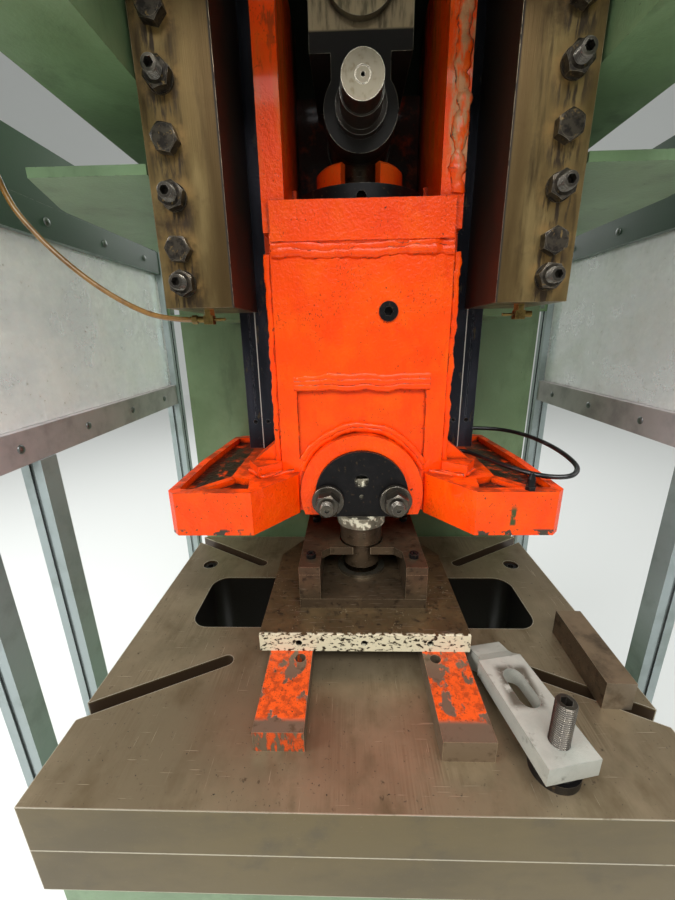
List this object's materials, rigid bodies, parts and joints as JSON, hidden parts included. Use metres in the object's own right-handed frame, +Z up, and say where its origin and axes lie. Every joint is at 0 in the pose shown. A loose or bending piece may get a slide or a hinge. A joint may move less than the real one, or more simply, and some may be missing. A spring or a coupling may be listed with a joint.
{
  "type": "mechanical stamping press",
  "caption": "Open-front C-frame eccentric press with a guided slide, punch and die set on a slotted table, rear flywheel drive and side guards.",
  "frame": {"origin": "on the floor, under the middle of the press", "axes": "+Z up, +X to the operator's right, +Y to the back"},
  "size_m": [1.24, 1.5, 2.572],
  "materials": {
    "green_paint": "semi-gloss machine enamel over steel, oily and stained",
    "orange_paint": "thick glossy brushed enamel over welded steel, chipped at the edges",
    "oily_steel": "ground steel with a brown oil film",
    "table_steel": "ground steel plate, worn and stained, with brighter edges",
    "die_steel": "dark oiled tool steel",
    "black_oxide": "black oxide steel, oily",
    "bolt_steel": "oily bolts with brown film",
    "bright_steel": "turned bright steel",
    "rail_steel": "blued hardened guide steel, oiled",
    "cast_grey": "bead-blasted grey steel",
    "chipped_cream": "bright steel with chipped cream paint",
    "parallel_paint": "steel with flaking orange paint",
    "bronze": "cast bronze",
    "fitting_brass": "oily brass",
    "nylon_tube": "translucent orange-brown nylon",
    "black_hose": "smooth black polyurethane",
    "belt_rubber": "matt rubber with dust",
    "guard_post": "pale blue-grey coated profile",
    "guard_rail": "grey coated profile, dusty",
    "pane": "clear plastic, scuffed and dirty",
    "guard_yellow": "yellow enamel",
    "motor_paint": "blue-grey enamel",
    "wheel_iron": "cast iron, dusty",
    "dark_zinc": "plated steel"
  },
  "bodies": {
    "press": {"frame_bed": "green_paint", "frame_column": "green_paint", "frame_crown": "green_paint", "bed_plate": "table_steel", "bolster": "table_steel", "bolster_bolts": "black_oxide", "levelling_feet": "dark_zinc", "crown_cover": "green_paint", "side_covers": "green_paint", "gib_left": "oily_steel", "gib_right": "oily_steel", "gib_bolts": "bolt_steel", "gib_set_screws": "bolt_steel", "parallels": "parallel_paint", "die_base": "die_steel", "die_block": "die_steel", "die_ring": "bright_steel", "stripper_rails": "die_steel", "stripper_plate": "die_steel", "die_screws": "black_oxide", "clamp_strap": "cast_grey", "clamp_screw": "bright_steel", "clamp_foot": "black_oxide", "spacer_bar": "die_steel", "crank_bushes": "bronze", "drive_belts": "belt_rubber", "belt_guard": "guard_yellow", "motor": "motor_paint", "motor_shelf": "green_paint", "lube_fittings": "fitting_brass", "lube_tube": "nylon_tube", "guard_posts": "guard_post", "guard_rails": "guard_rail", "guard_panes": "pane", "guard_screws": "dark_zinc", "guard_brackets": "green_paint"},
    "slide": {"slide_body": "orange_paint", "slide_wings": "orange_paint", "guide_rails": "rail_steel", "rail_screws": "black_oxide", "shank_cap": "black_oxide", "cap_studs": "bright_steel", "cap_nuts": "bolt_steel", "body_plug": "black_oxide", "ring_nut": "black_oxide", "adjusting_screw": "die_steel", "wrist_pin": "bright_steel", "connecting_rod": "chipped_cream", "rod_cap_bolts": "bolt_steel", "punch_holder": "chipped_cream", "punch": "die_steel", "air_fittings": "black_oxide", "air_hose": "black_hose", "blow_nozzle": "black_oxide"},
    "crank": {"crankshaft": "bright_steel", "clutch_brake": "wheel_iron"},
    "flywheel": {"flywheel": "wheel_iron", "flywheel_bearing": "bright_steel"},
    "rotor": {"motor_rotor": "bright_steel", "motor_pulley": "wheel_iron"}
  },
  "joints": [
    {"name": "crank_turn", "type": "hinge", "parent": "press", "child": "crank", "pos_m": [0, 0, 2.18], "axis": [0, 1, 0], "range_deg": [0, 180]},
    {"name": "slide_stroke", "type": "slide", "parent": "press", "child": "slide", "axis": [0, 0, -1], "range_m": [0, 0.024]},
    {"name": "flywheel_spin", "type": "hinge", "parent": "press", "child": "flywheel", "pos_m": [0, 0.475, 2.18], "axis": [0, 1, 0], "continuous": true},
    {"name": "motor_spin", "type": "hinge", "parent": "press", "child": "rotor", "pos_m": [0, 0.475, 1.56], "axis": [0, 1, 0], "continuous": true}
  ],
  "couplings": [
    {"joint": "slide_stroke", "follows": "crank_turn", "m_per_rad": 0.0076394},
    {"joint": "motor_spin", "follows": "flywheel_spin", "ratio": 5.1177}
  ]
}
